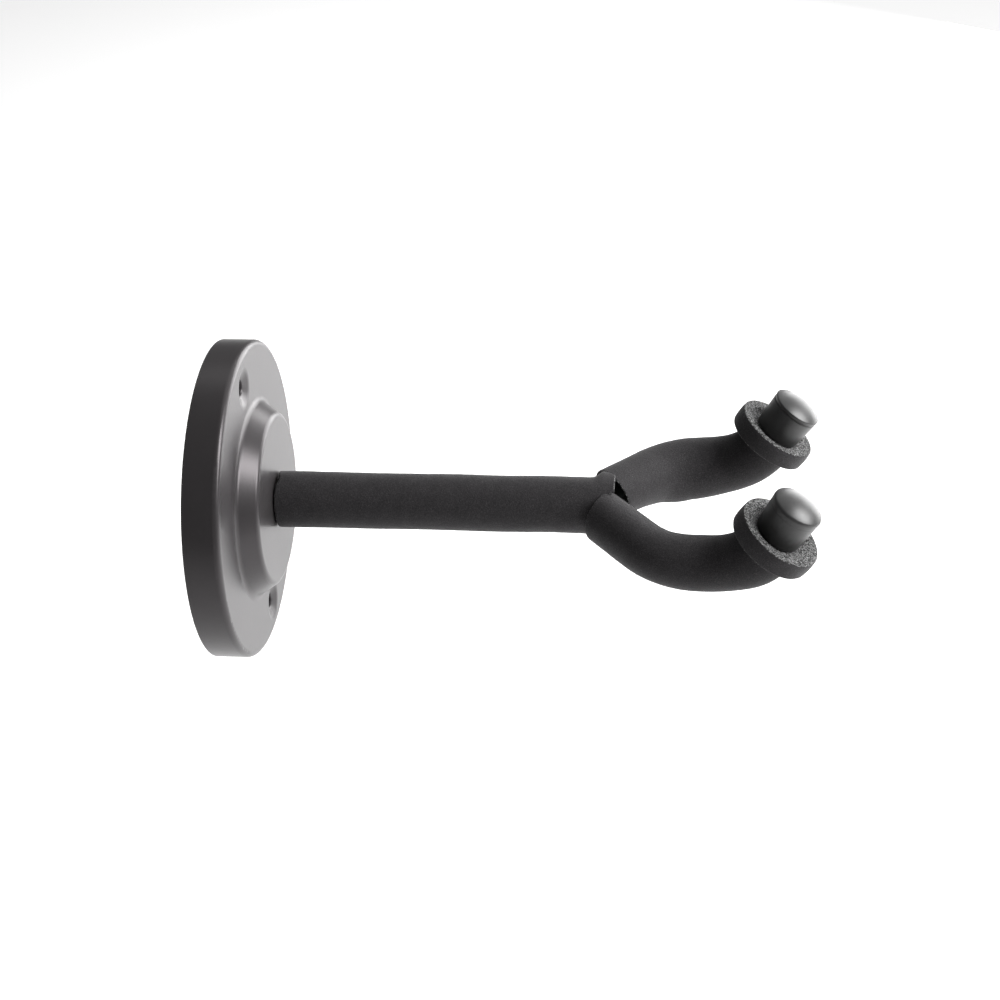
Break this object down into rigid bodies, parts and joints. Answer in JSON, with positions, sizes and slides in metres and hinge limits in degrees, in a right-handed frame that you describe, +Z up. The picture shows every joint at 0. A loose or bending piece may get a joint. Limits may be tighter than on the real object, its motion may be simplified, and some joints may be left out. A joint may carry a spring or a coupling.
{
  "type": "wall guitar hanger",
  "caption": "Round pressed wall plate with a foam-covered arm that swivels on it and ends in an upturned fork to hold a guitar by its headstock.",
  "frame": {"origin": "centre of the wall plate's back, on the wall's surface", "axes": "-Y out of the wall along the stem, +Z up, +X to the right for someone facing the wall"},
  "size_m": [0.116, 0.2152, 0.116],
  "materials": {
    "plate_paint": "satin",
    "bar_paint": "gloss",
    "zinc_steel": "satin",
    "nylon": "matte",
    "foam": "matte",
    "ring_foam": "matte",
    "cap_rubber": "satin"
  },
  "bodies": {
    "base": {"wall_plate": "plate_paint", "swivel_bush": "nylon"},
    "arm": {"stem_rod": "bar_paint", "fork_bar": "bar_paint", "fork_weld": "bar_paint", "rear_washer": "zinc_steel", "spring_washer": "zinc_steel", "lock_nut": "zinc_steel", "lock_nut_insert": "nylon", "stem_foam": "foam", "left_prong_foam": "foam", "right_prong_foam": "foam", "left_stop_ring": "ring_foam", "right_stop_ring": "ring_foam", "left_end_cap": "cap_rubber", "right_end_cap": "cap_rubber"}
  },
  "joints": [
    {"name": "arm_swivel", "type": "hinge", "parent": "base", "child": "arm", "pos_m": [0, 0, 0], "axis": [0, -1, 0], "continuous": true}
  ]
}
